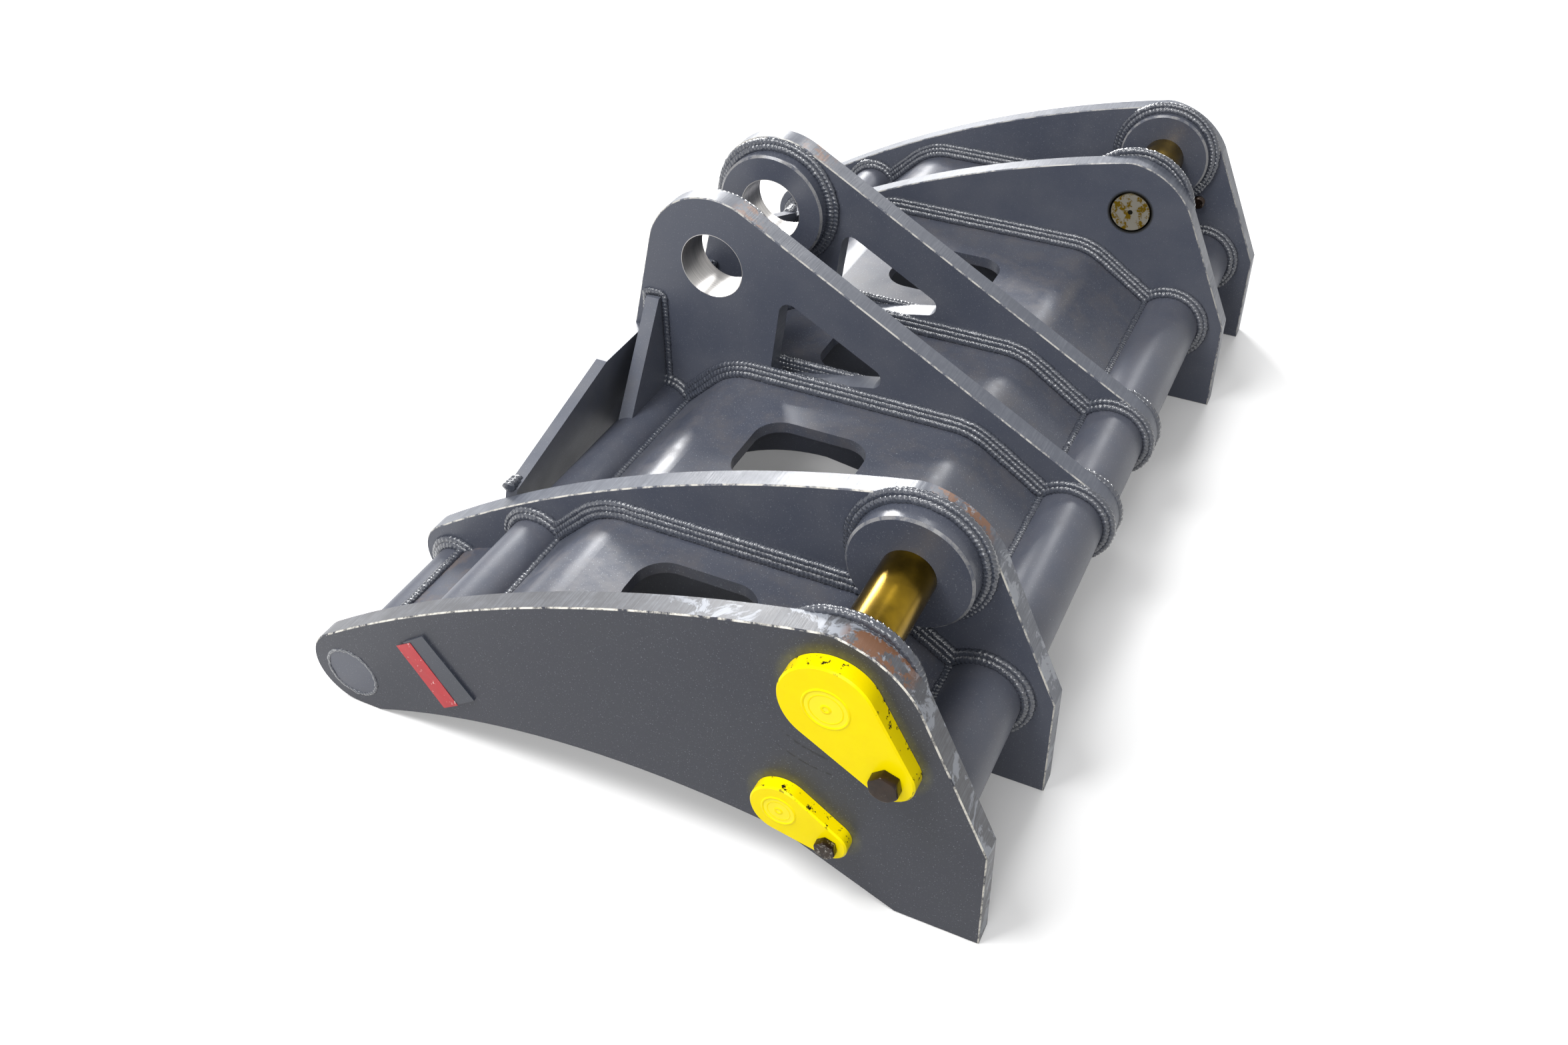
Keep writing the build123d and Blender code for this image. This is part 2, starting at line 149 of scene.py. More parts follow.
def frameEnamel(name, **changes):
    look = {**frameEnamelLook, **changes}
    material, tree, shader, place = newMaterial(name, {"IOR": 1.5, "Coat Weight": look["coat"], "Coat Roughness": 0.08,
                                                     "Specular IOR Level": look["specular"]})
    spot, facing = place.outputs["Object"], place.outputs["Normal"]

    # dull clouds where the paint went on dry
    cloud = addNode(tree, "TexNoise", {"Scale": 1000 / look["cloudSize"], "Detail": 6.0, "Roughness": 0.62},
                    {"Vector": spot})
    cloudMask = addNode(tree, "MapRange", {"From Min": 0.40, "From Max": 0.66}, {0: cloud.outputs[0]}).outputs[0]
    colour = addNode(tree, "Mix", {"data_type": "RGBA", 6: linearColour(look["paint"]), 7: linearColour(look["dull"])},
                     {0: cloudMask}).outputs[2]
    rough = addNode(tree, "MapRange", {"To Min": look["roughness"], "To Max": look["roughnessDull"]},
                    {0: cloudMask}).outputs[0]

    # dust specks of 1.5 mm
    specks = addNode(tree, "TexNoise", {"Scale": 620.0, "Detail": 1.0}, {"Vector": spot})
    speckMask = addNode(tree, "MapRange", {"From Min": 0.66, "From Max": 0.76, "To Max": look["speckShare"] * 4},
                        {0: specks.outputs[0]}).outputs[0]
    colour = addNode(tree, "Mix", {"data_type": "RGBA", 7: linearColour(look["speck"])},
                     {0: speckMask, 6: colour}).outputs[2]

    # workshop dust in drifts of 40 mm
    if look["dustShare"]:
        drift = addNode(tree, "TexNoise", {"Scale": 25.0, "Detail": 7.0, "Roughness": 0.7}, {"Vector": spot})
        driftMask = addNode(tree, "MapRange", {"From Min": 0.45, "From Max": 0.70, "To Max": look["dustShare"]},
                            {0: drift.outputs[0]}).outputs[0]
        colour = addNode(tree, "Mix", {"data_type": "RGBA", 7: linearColour(look["dust"])},
                         {0: driftMask, 6: colour}).outputs[2]
        rough = addNode(tree, "Mix", {"data_type": "FLOAT", 3: 0.75}, {0: driftMask, 2: rough}).outputs[0]

    height = addNode(tree, "TexNoise", {"Scale": 1000 / look["peelSize"], "Detail": 2.0}, {"Vector": spot}).outputs[0]
    across = addNode(tree, "SeparateXYZ", links={0: facing})
    upright = addNode(tree, "Math", {"operation": "ABSOLUTE"}, {0: across.outputs["Y"]}).outputs[0]
    position = addNode(tree, "SeparateXYZ", links={0: spot})
    metallic = None

    if look["rim"]:
        # flame-cut rim: drag lines across the thickness and thinner paint, paler partly as painted sheen where light
        # catches the rims
        rimMask = addNode(tree, "MapRange", {"From Min": 0.62, "From Max": 0.30, "To Max": look["rim"]},
                          {0: upright}).outputs[0]
        stretched = addNode(tree, "Mapping", {"Scale": (1.0, 0.05, 1.0)}, {"Vector": spot})
        drag = addNode(tree, "TexNoise", {"Scale": 1000 / look["striationPitch"], "Detail": 3.0},
                       {"Vector": stretched.outputs[0]})
        patchy = addNode(tree, "TexNoise", {"Scale": 42.0, "Detail": 6.0, "Roughness": 0.65}, {"Vector": spot})
        dragMix = addNode(tree, "Math", {"operation": "MULTIPLY"}, {0: drag.outputs[0], 1: patchy.outputs[0]})
        bareShare = addNode(tree, "MapRange", {"From Min": 0.20, "From Max": 0.46, "To Max": look["rimShare"]}, {0: dragMix.outputs[0]})
        rimColour = addNode(tree, "Mix", {"data_type": "RGBA", 6: linearColour(look["rimPaint"]),
                                          7: linearColour(look["rimBare"])}, {0: bareShare.outputs[0]}).outputs[2]
        if look["scrapeFrom"] is not None:
            scrapeSpan = addNode(tree, "MapRange", {"From Min": look["scrapeFrom"] / 1000 - 0.02,
                                                    "From Max": look["scrapeFrom"] / 1000 + 0.05},
                                 {0: position.outputs["X"]}).outputs[0]
            scrapes = addNode(tree, "TexNoise", {"Scale": 30.0, "Detail": 8.0, "Roughness": 0.7, "Distortion": 0.6},
                              {"Vector": spot})
            scrapePatch = addNode(tree, "MapRange", {"From Min": 0.52, "From Max": 0.56}, {0: scrapes.outputs[0]})
            scrapeMask = addNode(tree, "Math", {"operation": "MULTIPLY"},
                                 {0: scrapeSpan, 1: scrapePatch.outputs[0]}).outputs[0]
            rimColour = addNode(tree, "Mix", {"data_type": "RGBA", 7: linearColour(look["rimBare"])},
                                {0: scrapeMask, 6: rimColour}).outputs[2]
        if look["rustSpan"]:
            low, high = (end / 1000 for end in look["rustSpan"])
            rustIn = addNode(tree, "MapRange", {"From Min": low - 0.006, "From Max": low + 0.006},
                             {0: position.outputs["X"]}).outputs[0]
            rustOut = addNode(tree, "MapRange", {"From Min": high + 0.006, "From Max": high - 0.006},
                              {0: position.outputs["X"]}).outputs[0]
            aloft = addNode(tree, "MapRange", {"From Min": 0.30, "From Max": 0.31},
                            {0: position.outputs["Z"]}).outputs[0]
            rusty = addNode(tree, "TexNoise", {"Scale": 60.0, "Detail": 6.0, "Roughness": 0.7}, {"Vector": spot})
            rustPatch = addNode(tree, "MapRange", {"From Min": 0.47, "From Max": 0.53}, {0: rusty.outputs[0]})
            rustMask = addNode(tree, "Math", {"operation": "MULTIPLY"}, {0: rustIn, 1: rustOut}).outputs[0]
            rustMask = addNode(tree, "Math", {"operation": "MULTIPLY"}, {0: rustMask, 1: aloft}).outputs[0]
            rustMask = addNode(tree, "Math", {"operation": "MULTIPLY"},
                               {0: rustMask, 1: rustPatch.outputs[0]}).outputs[0]
            rimColour = addNode(tree, "Mix", {"data_type": "RGBA", 7: linearColour(look["rust"])},
                                {0: rustMask, 6: rimColour}).outputs[2]
        colour = addNode(tree, "Mix", {"data_type": "RGBA"}, {0: rimMask, 6: colour, 7: rimColour}).outputs[2]
        dragHeight = addNode(tree, "Math", {"operation": "MULTIPLY", 1: 4.0}, {0: drag.outputs[0]}).outputs[0]
        height = addNode(tree, "Mix", {"data_type": "FLOAT"}, {0: rimMask, 2: height, 3: dragHeight}).outputs[0]

    if look["wear"]:
        # paint rubbed off the small chamfers, which face halfway between face and rim
        offEdge = addNode(tree, "Math", {"operation": "SUBTRACT", 1: 0.707}, {0: upright}).outputs[0]
        offEdge = addNode(tree, "Math", {"operation": "ABSOLUTE"}, {0: offEdge}).outputs[0]
        edgeMask = addNode(tree, "MapRange", {"From Min": 0.12, "From Max": 0.05}, {0: offEdge}).outputs[0]
        rubbed = addNode(tree, "TexNoise", {"Scale": 55.0, "Detail": 6.0, "Roughness": 0.7}, {"Vector": spot})
        rubbedMask = addNode(tree, "MapRange", {"From Min": 0.42, "From Max": 0.54, "To Max": look["wear"]},
                             {0: rubbed.outputs[0]}).outputs[0]
        wearMask = addNode(tree, "Math", {"operation": "MULTIPLY"}, {0: edgeMask, 1: rubbedMask}).outputs[0]
        colour = addNode(tree, "Mix", {"data_type": "RGBA", 7: linearColour(look["worn"])},
                         {0: wearMask, 6: colour}).outputs[2]

    outside = addNode(tree, "Math", {"operation": "ABSOLUTE"}, {0: position.outputs["Y"]}).outputs[0]
    outside = addNode(tree, "MapRange", {"From Min": 0.6865, "From Max": 0.6872}, {0: outside}).outputs[0]

    # overspray round the keepers, which were painted in place
    for halo in look["halos"]:
        start = Vector((halo["from"][0], 0, halo["from"][1])) / 1000
        along = Vector((halo["to"][0], 0, halo["to"][1])) / 1000 - start
        flat = addNode(tree, "VectorMath", {"operation": "MULTIPLY", 1: (1, 0, 1)}, {0: spot}).outputs[0]
        away = addNode(tree, "VectorMath", {"operation": "SUBTRACT", 1: start}, {0: flat}).outputs[0]
        share = addNode(tree, "VectorMath", {"operation": "DOT_PRODUCT", 1: along / along.length_squared}, {0: away})
        share = addNode(tree, "Clamp", links={0: share.outputs["Value"]}).outputs[0]
        nearest = addNode(tree, "VectorMath", {"operation": "SCALE", 0: along}, {"Scale": share}).outputs[0]
        gap = addNode(tree, "VectorMath", {"operation": "DISTANCE"}, {0: away, 1: nearest}).outputs["Value"]
        reach = addNode(tree, "MapRange", {"To Min": halo["radii"][0] / 1000, "To Max": halo["radii"][1] / 1000},
                        {0: share}).outputs[0]
        gap = addNode(tree, "Math", {"operation": "SUBTRACT"}, {0: gap, 1: reach}).outputs[0]
        misty = addNode(tree, "TexNoise", {"Scale": 140.0, "Detail": 3.0}, {"Vector": spot}).outputs[0]
        mist = addNode(tree, "MapRange", {"From Min": 0.013, "From Max": -0.002, "To Max": 0.85}, {0: gap}).outputs[0]
        mist = addNode(tree, "Math", {"operation": "MULTIPLY"}, {0: mist, 1: misty}).outputs[0]
        mist = addNode(tree, "Math", {"operation": "MULTIPLY"}, {0: mist, 1: outside}).outputs[0]
        colour = addNode(tree, "Mix", {"data_type": "RGBA", 7: linearColour(look["haloPaint"])},
                         {0: mist, 6: colour}).outputs[2]

    # dark arcs rubbed in by a keeper that once swung round
    for scuff in look["scuffs"]:
        radius = distanceFromAxis(tree, spot, scuff["axis"])
        radius = addNode(tree, "Math", {"operation": "SUBTRACT", 1: scuff["radius"] / 1000}, {0: radius}).outputs[0]
        radius = addNode(tree, "Math", {"operation": "ABSOLUTE"}, {0: radius}).outputs[0]
        line = addNode(tree, "MapRange", {"From Min": scuff["width"] / 1000, "From Max": 0.0}, {0: radius}).outputs[0]
        low, high = (end / 1000 for end in scuff["span"])
        entering = addNode(tree, "MapRange", {"From Min": low - 0.004, "From Max": low + 0.004},
                           {0: position.outputs["X"]}).outputs[0]
        leaving = addNode(tree, "MapRange", {"From Min": high + 0.004, "From Max": high - 0.004},
                          {0: position.outputs["X"]}).outputs[0]
        broken = addNode(tree, "TexNoise", {"Scale": 180.0, "Detail": 4.0}, {"Vector": spot}).outputs[0]
        broken = addNode(tree, "MapRange", {"From Min": 0.42, "From Max": 0.52}, {0: broken}).outputs[0]
        for part in (entering, leaving, broken, outside):
            line = addNode(tree, "Math", {"operation": "MULTIPLY"}, {0: line, 1: part}).outputs[0]
        colour = addNode(tree, "Mix", {"data_type": "RGBA", 7: linearColour("#1B1C20")},
                         {0: line, 6: colour}).outputs[2]

    if look["gapAxis"]:
        # a dark ring on the plate round the pin's end: painted shade of the gap between pin and bore
        radius = distanceFromAxis(tree, spot, look["gapAxis"])
        gapShadeMask = addNode(tree, "MapRange", {"From Min": look["gapRadii"][1] / 1000,
                                             "From Max": look["gapRadii"][0] / 1000}, {0: radius}).outputs[0]
        colour = addNode(tree, "Mix", {"data_type": "RGBA", 7: linearColour("#1A1A17")},
                         {0: gapShadeMask, 6: colour}).outputs[2]

    if look["boreAxis"]:
        # bored steel without paint, with tool marks round the bore
        radius = distanceFromAxis(tree, spot, look["boreAxis"])
        boreMask = addNode(tree, "MapRange", {"From Min": look["boreRadius"] / 1000,
                                              "From Max": look["boreRadius"] / 1000 - 0.0006}, {0: radius}).outputs[0]
        squeezed = addNode(tree, "Mapping", {"Scale": (0.03, 1.0, 0.03)}, {"Vector": spot})
        toolMarks = addNode(tree, "TexNoise", {"Scale": 700.0, "Detail": 2.0}, {"Vector": squeezed.outputs[0]})
        steel = addNode(tree, "Mix", {"data_type": "RGBA", 6: linearColour("#8F8C8A"), 7: linearColour("#D5D3D0")},
                        {0: toolMarks.outputs[0]}).outputs[2]
        colour = addNode(tree, "Mix", {"data_type": "RGBA"}, {0: boreMask, 6: colour, 7: steel}).outputs[2]
        rough = addNode(tree, "Mix", {"data_type": "FLOAT", 3: 0.30}, {0: boreMask, 2: rough}).outputs[0]
        marks = addNode(tree, "Math", {"operation": "MULTIPLY", 1: 0.15}, {0: toolMarks.outputs[0]}).outputs[0]
        height = addNode(tree, "Mix", {"data_type": "FLOAT"}, {0: boreMask, 2: height, 3: marks}).outputs[0]
        metallic = boreMask

    bump = addNode(tree, "Bump", {"Strength": look["bumpStrength"], "Distance": look["peelDepth"] / 1000},
                   {"Height": height})
    tree.links.new(colour, shader.inputs["Base Color"])
    tree.links.new(rough, shader.inputs["Roughness"])
    tree.links.new(bump.outputs[0], shader.inputs["Normal"])
    if metallic:
        tree.links.new(metallic, shader.inputs["Metallic"])
    return material


keeperHalos = (
    {"from": couplerPlan["armPin"], "to": couplerPlan["armBolt"], "radii": (54.0, 29.0)},
    {"from": couplerPlan["lockPin"], "to": couplerPlan["lockBolt"], "radii": (35.0, 22.0)},
)
swungArcs = (
    {"axis": couplerPlan["armPin"], "radius": 96.0, "width": 2.6, "span": (212.0, 262.0)},
    {"axis": couplerPlan["armPin"], "radius": 118.0, "width": 1.8, "span": (206.0, 268.0)},
)
# The left outer plate gets a darker copy of the frame paint than the lighter default on the other plates, ears and
# bosses: shaded and lit copies of one enamel, painted light. Its paler rim paint is partly painted sheen.
outerPlateShadedCopyEnamel = frameEnamel("semiGlossEnamelOnOuterPlateShadedCopy", paint="#34363F", dull="#3A3C43", specular=0.3,
                               rim=1.0, wear=1.0, rimPaint="#515256",
                               rustSpan=(272, 341), scrapeFrom=60, halos=keeperHalos, scuffs=swungArcs)
innerPlateEnamel = frameEnamel("semiGlossEnamelOnInnerPlate", rim=1.0, wear=0.8, rustSpan=(270, 339), scrapeFrom=190,
                               gapAxis=couplerPlan["armPin"])
cleanOuterEnamel = frameEnamel("semiGlossEnamelOnCleanOuterPlate", rim=1.0, wear=0.4, rimShare=0.35,
                               halos=keeperHalos)
cleanInnerEnamel = frameEnamel("semiGlossEnamelOnCleanInnerPlate", rim=1.0, wear=0.5, rimShare=0.35,
                               gapAxis=couplerPlan["armPin"])
earEnamel = frameEnamel("semiGlossEnamelOnTiltEar", rim=0.8, rimShare=0.25, wear=0.6, rustSpan=(-130, -90),
                        boreAxis=couplerPlan["tiltBore"])
bossEnamel = frameEnamel("glossyEnamelOnTurnedBoss", roughness=0.24, roughnessDull=0.34, wear=0.2)
tiltBossEnamel = frameEnamel("glossyEnamelOnBoredBoss", roughness=0.24, roughnessDull=0.34, wear=0.2,
                             boreAxis=couplerPlan["tiltBore"])
deckEnamel = frameEnamel("semiGlossEnamelOnDeckPlate", dustShare=0.3, roughness=0.29, roughnessDull=0.36,
                         speckShare=0.2, dust="#6C655F")
tubeEnamel = frameEnamel("semiGlossEnamelOnTube", dustShare=0.12, dust="#6C6461", roughness=0.38, roughnessDull=0.44)
# the back plates and gussets get a lighter copy of the frame paint: painted light on faces that lie in shade
bracketLitCopyEnamel = frameEnamel("semiGlossEnamelOnBracketsLitCopy", dustShare=0.15, paint="#535762", dull="#5A5D66")
webEnamel = frameEnamel("dustyEnamelOnHookWeb", dustShare=0.9, dust="#6E6159")
padEnamel = frameEnamel("semiGlossEnamelOnPad", paint="#30343E", dull="#3A3D47")
weldEnamel = frameEnamel("glossyEnamelOverWeldBeads", paint="#3C404A", dull="#43464F", roughness=0.18,
                         roughnessDull=0.24, peelSize=4.5, peelDepth=1.6, bumpStrength=1.0, coat=0.8, speckShare=0.0)


# Gloss enamel, brushed on thickly over the keepers: lemon yellow, with black chips
# down to the primer along the rims and brush ridges of 3 mm.
keeperLook = {"paint": "#FFEA00", "shade": "#F8DC00", "chip": "#1C1A14", "roughness": 0.25, "specular": 0.1}


def keeperEnamel():
    material, tree, shader, place = newMaterial("glossYellowEnamel", {"Roughness": keeperLook["roughness"],
                                                              "Specular IOR Level": keeperLook["specular"]})
    spot = place.outputs["Object"]
    tone = addNode(tree, "TexNoise", {"Scale": 35.0, "Detail": 4.0}, {"Vector": spot})
    colour = addNode(tree, "Mix", {"data_type": "RGBA", 6: linearColour(keeperLook["paint"]),
                                   7: linearColour(keeperLook["shade"])}, {0: tone.outputs[0]}).outputs[2]
    across = addNode(tree, "SeparateXYZ", links={0: place.outputs["Normal"]})
    upright = addNode(tree, "Math", {"operation": "ABSOLUTE"}, {0: across.outputs["Y"]}).outputs[0]
    rimMask = addNode(tree, "MapRange", {"From Min": 0.95, "From Max": 0.6}, {0: upright}).outputs[0]
    chips = addNode(tree, "TexNoise", {"Scale": 95.0, "Detail": 6.0, "Roughness": 0.7}, {"Vector": spot})
    edgeChips = addNode(tree, "MapRange", {"From Min": 0.60, "From Max": 0.63}, {0: chips.outputs[0]}).outputs[0]
    edgeChips = addNode(tree, "Math", {"operation": "MULTIPLY"}, {0: edgeChips, 1: rimMask}).outputs[0]
    nicks = addNode(tree, "MapRange", {"From Min": 0.735, "From Max": 0.75}, {0: chips.outputs[0]}).outputs[0]
    chipMask = addNode(tree, "Math", {"operation": "MAXIMUM"}, {0: edgeChips, 1: nicks}).outputs[0]
    colour = addNode(tree, "Mix", {"data_type": "RGBA", 7: linearColour(keeperLook["chip"])},
                     {0: chipMask, 6: colour}).outputs[2]
    ridges = addNode(tree, "TexNoise", {"Scale": 330.0, "Detail": 2.0}, {"Vector": spot})
    bump = addNode(tree, "Bump", {"Strength": 0.4, "Distance": 0.0002}, {"Height": ridges.outputs[0]})
    tree.links.new(colour, shader.inputs["Base Color"])
    tree.links.new(bump.outputs[0], shader.inputs["Normal"])
    return material


# Turned steel pins with a yellow chromate over zinc: olive gold that shades into
# brown, fine turning marks round the pin, and yellow enamel on the keeper's plug.
pinLook = {"zinc": "#8C7018", "olive": "#4E3D0C", "end": "#B8B2A2", "rim": "#1E1B12", "turningPitch": 1.2, "roughness": 0.22}


def pinZinc(name, axis):
    material, tree, shader, place = newMaterial(name, {})
    spot = place.outputs["Object"]
    squeezed = addNode(tree, "Mapping", {"Scale": (0.02, 1.0, 0.02)}, {"Vector": spot})
    turning = addNode(tree, "TexNoise", {"Scale": 1000 / pinLook["turningPitch"], "Detail": 2.0},
                      {"Vector": squeezed.outputs[0]})
    stain = addNode(tree, "TexNoise", {"Scale": 22.0, "Detail": 4.0}, {"Vector": spot})
    stainMask = addNode(tree, "MapRange", {"From Min": 0.35, "From Max": 0.7}, {0: stain.outputs[0]}).outputs[0]
    colour = addNode(tree, "Mix", {"data_type": "RGBA", 6: linearColour(pinLook["zinc"]),
                                   7: linearColour(pinLook["olive"])}, {0: stainMask}).outputs[2]
    across = addNode(tree, "SeparateXYZ", links={0: place.outputs["Normal"]})
    upright = addNode(tree, "Math", {"operation": "ABSOLUTE"}, {0: across.outputs["Y"]}).outputs[0]
    endMask = addNode(tree, "MapRange", {"From Min": 0.5, "From Max": 0.9}, {0: upright}).outputs[0]
    patch = addNode(tree, "TexNoise", {"Scale": 75.0, "Detail": 5.0, "Roughness": 0.7}, {"Vector": spot}).outputs[0]
    patch = addNode(tree, "MapRange", {"From Min": 0.56, "From Max": 0.50}, {0: patch}).outputs[0]
    endPaint = addNode(tree, "Mix", {"data_type": "RGBA", 6: linearColour(pinLook["zinc"]),
                                     7: linearColour(pinLook["end"])}, {0: patch}).outputs[2]
    colour = addNode(tree, "Mix", {"data_type": "RGBA"}, {0: endMask, 6: colour, 7: endPaint}).outputs[2]
    # the pin's chamfer painted near black: painted shade on the chamfer round the pin's end
    offEdge = addNode(tree, "Math", {"operation": "SUBTRACT", 1: 0.707}, {0: upright}).outputs[0]
    offEdge = addNode(tree, "Math", {"operation": "ABSOLUTE"}, {0: offEdge}).outputs[0]
    edgeMask = addNode(tree, "MapRange", {"From Min": 0.15, "From Max": 0.08}, {0: offEdge}).outputs[0]
    colour = addNode(tree, "Mix", {"data_type": "RGBA", 7: linearColour(pinLook["rim"])},
                     {0: edgeMask, 6: colour}).outputs[2]
    # a dark dot at the centre of the pin's end: painted shade of the centre hole
    radius = distanceFromAxis(tree, spot, axis)
    centreHoleShadeMask = addNode(tree, "MapRange", {"From Min": 0.0042, "From Max": 0.0034}, {0: radius}).outputs[0]
    colour = addNode(tree, "Mix", {"data_type": "RGBA", 7: linearColour("#2A2820")},
                     {0: centreHoleShadeMask, 6: colour}).outputs[2]
    position = addNode(tree, "SeparateXYZ", links={0: spot})
    outward = addNode(tree, "Math", {"operation": "ABSOLUTE"}, {0: position.outputs["Y"]}).outputs[0]
    plugMask = addNode(tree, "MapRange", {"From Min": 0.6882, "From Max": 0.6886}, {0: outward}).outputs[0]
    colour = addNode(tree, "Mix", {"data_type": "RGBA", 7: linearColour(keeperLook["paint"])},
                     {0: plugMask, 6: colour}).outputs[2]
    metallic = addNode(tree, "MapRange", {"From Min": 0.0, "From Max": 1.0, "To Min": 0.95, "To Max": 0.0},
                       {0: plugMask}).outputs[0]
    rough = addNode(tree, "MapRange", {"To Min": pinLook["roughness"], "To Max": 0.42}, {0: endMask}).outputs[0]
    bump = addNode(tree, "Bump", {"Strength": 0.12, "Distance": 0.0001}, {"Height": turning.outputs[0]})
    tree.links.new(colour, shader.inputs["Base Color"])
    tree.links.new(metallic, shader.inputs["Metallic"])
    tree.links.new(rough, shader.inputs["Roughness"])
    tree.links.new(bump.outputs[0], shader.inputs["Normal"])
    return material


# Blackened steel bolts with oil on them: near black, with brown and bare flats
boltLook = {"black": "#171412", "brown": "#3A2A20", "bare": "#9A9690", "roughness": 0.28}


def boltSteel(name, bareShare):
    material, tree, shader, place = newMaterial(name, {"Metallic": 0.6, "Roughness": boltLook["roughness"]})
    spot = place.outputs["Object"]
    stain = addNode(tree, "TexNoise", {"Scale": 120.0, "Detail": 5.0}, {"Vector": spot})
    colour = addNode(tree, "Mix", {"data_type": "RGBA", 6: linearColour(boltLook["black"]),
                                   7: linearColour(boltLook["brown"])}, {0: stain.outputs[0]}).outputs[2]
    scratch = addNode(tree, "TexNoise", {"Scale": 210.0, "Detail": 6.0, "Roughness": 0.7}, {"Vector": spot})
    bare = addNode(tree, "MapRange", {"From Min": 0.66 - bareShare, "From Max": 0.70 - bareShare / 2},
                   {0: scratch.outputs[0]}).outputs[0]
    colour = addNode(tree, "Mix", {"data_type": "RGBA", 7: linearColour(boltLook["bare"])},
                     {0: bare, 6: colour}).outputs[2]
    bump = addNode(tree, "Bump", {"Strength": 0.3, "Distance": 0.0002}, {"Height": scratch.outputs[0]})
    tree.links.new(colour, shader.inputs["Base Color"])
    tree.links.new(bump.outputs[0], shader.inputs["Normal"])
    return material


# Red vinyl label, rubbed pale in places
labelLook = {"red": "#C8202A", "deep": "#A5141E", "rubbed": "#E8C9C6", "roughness": 0.32}


def labelVinyl():
    material, tree, shader, place = newMaterial("redVinylLabel", {"Roughness": labelLook["roughness"]})
    spot = place.outputs["Object"]
    fade = addNode(tree, "TexNoise", {"Scale": 60.0, "Detail": 4.0}, {"Vector": spot})
    colour = addNode(tree, "Mix", {"data_type": "RGBA", 6: linearColour(labelLook["red"]),
                                   7: linearColour(labelLook["deep"])}, {0: fade.outputs[0]}).outputs[2]
    rubs = addNode(tree, "TexNoise", {"Scale": 150.0, "Detail": 6.0, "Roughness": 0.7}, {"Vector": spot})
    rubMask = addNode(tree, "MapRange", {"From Min": 0.62, "From Max": 0.67}, {0: rubs.outputs[0]}).outputs[0]
    colour = addNode(tree, "Mix", {"data_type": "RGBA", 7: linearColour(labelLook["rubbed"])},
                     {0: rubMask, 6: colour}).outputs[2]
    tree.links.new(colour, shader.inputs["Base Color"])
    return material


yellowEnamel = keeperEnamel()
armPinZinc = pinZinc("yellowZincOnArmPin", couplerPlan["armPin"])
lockPinZinc = pinZinc("yellowZincOnLockPin", couplerPlan["lockPin"])
blackBoltSteel = boltSteel("blackenedBoltSteel", 0.0)
scrapedBoltSteel = boltSteel("scrapedBoltSteel", 0.12)
redVinyl = labelVinyl()

nodeFinish = {
    "outer_plate": outerPlateShadedCopyEnamel, "inner_plate": innerPlateEnamel, "tilt_ear": earEnamel,
    "outer_arm_boss": bossEnamel, "inner_arm_boss": bossEnamel, "tilt_boss": tiltBossEnamel,
    "hook_bar": tubeEnamel, "toe_tube": tubeEnamel, "rear_tube": tubeEnamel,
    "arm_deck": deckEnamel, "wide_deck": deckEnamel, "middle_deck": deckEnamel,
    "back_plate": bracketLitCopyEnamel, "middle_back_plate": bracketLitCopyEnamel, "ear_gusset": bracketLitCopyEnamel,
    "hook_web": webEnamel, "plain_pad": padEnamel,
    "right_outer_plate": cleanOuterEnamel, "right_inner_plate": cleanInnerEnamel,
    "arm_pin": armPinZinc, "lock_pin": lockPinZinc, "arm_keeper": yellowEnamel, "lock_keeper": yellowEnamel,
    "arm_keeper_bolt": blackBoltSteel, "lock_keeper_bolt": scrapedBoltSteel,
}
for nodeName, node in nodes.items():
    finish = nodeFinish.get(nodeName) or nodeFinish[nodeName.split("_", 1)[1]]
    node.data.materials.clear()
    node.data.materials.append(finish)
print("materials on the carried-over nodes")


# a fresh primitive's mesh is edited with only the chosen parts selected
def deselectAll():
    bpy.ops.object.select_all(action="DESELECT")


def selectVertices(piece, wanted):
    bpy.ops.object.mode_set(mode="EDIT")
    bpy.ops.mesh.select_mode(type="VERT")
    bpy.ops.mesh.select_all(action="DESELECT")
    bpy.ops.object.mode_set(mode="OBJECT")
    for vertex in piece.data.vertices:
        vertex.select = wanted(vertex.co)
    bpy.ops.object.mode_set(mode="EDIT")


def applyModifier(piece, kind, **settings):
    bpy.ops.object.modifier_add(type=kind)
    modifier = piece.modifiers[-1]
    for name, value in settings.items():
        setattr(modifier, name, value)
    bpy.ops.object.modifier_apply(modifier=modifier.name)


# a flat route with rounded corners, in millimetres
def roundedRoute(points, radius):
    route = [points[0]]
    for before, corner, after in zip(points, points[1:], points[2:]):
        inward = (Vector(before) - Vector(corner)).normalized()
        onward = (Vector(after) - Vector(corner)).normalized()
        half = inward.angle(onward) / 2
        middle = Vector(corner) + (inward + onward).normalized() * radius / sin(half)
        start = Vector(corner) + inward * radius / tan(half) - middle
        end = Vector(corner) + onward * radius / tan(half) - middle
        first = atan2(start.y, start.x)
        turn = (atan2(end.y, end.x) - first + pi) % (2 * pi) - pi
        for step in range(9):
            angle = first + turn * step / 8
            route.append((middle.x + radius * cos(angle), middle.y + radius * sin(angle)))
    return route + [points[-1]]


# a circle travelled clockwise, so that its left side is the outside
def roundRoute(centre, radius, steps=48):
    return [(centre[0] + radius * cos(2 * pi * k / steps), centre[1] - radius * sin(2 * pi * k / steps))
            for k in range(steps)]


# One weld pass along a flat route. Its place is (along the wall, out from the wall).
weldLook = {
    "pitch": 5.5,
    "sides": 8,
    "swells": (1.22, 0.95, 0.863),
    "lean": 0.35,
    "deckPasses": ((4.0, 4.0, 12.0, 13.0), (11.5, 3.0, 10.5, 11.0), (18.0, 2.0, 9.0, 9.0)),
    "ringPasses": ((3.0, 3.5, 12.0, 12.0), (10.0, 2.0, 10.0, 9.0)),
    "seamPasses": ((2.5, 2.5, 9.0, 8.0),),
    "lumpSize": 7.0,
    "lumpHeight": 3.0,
}


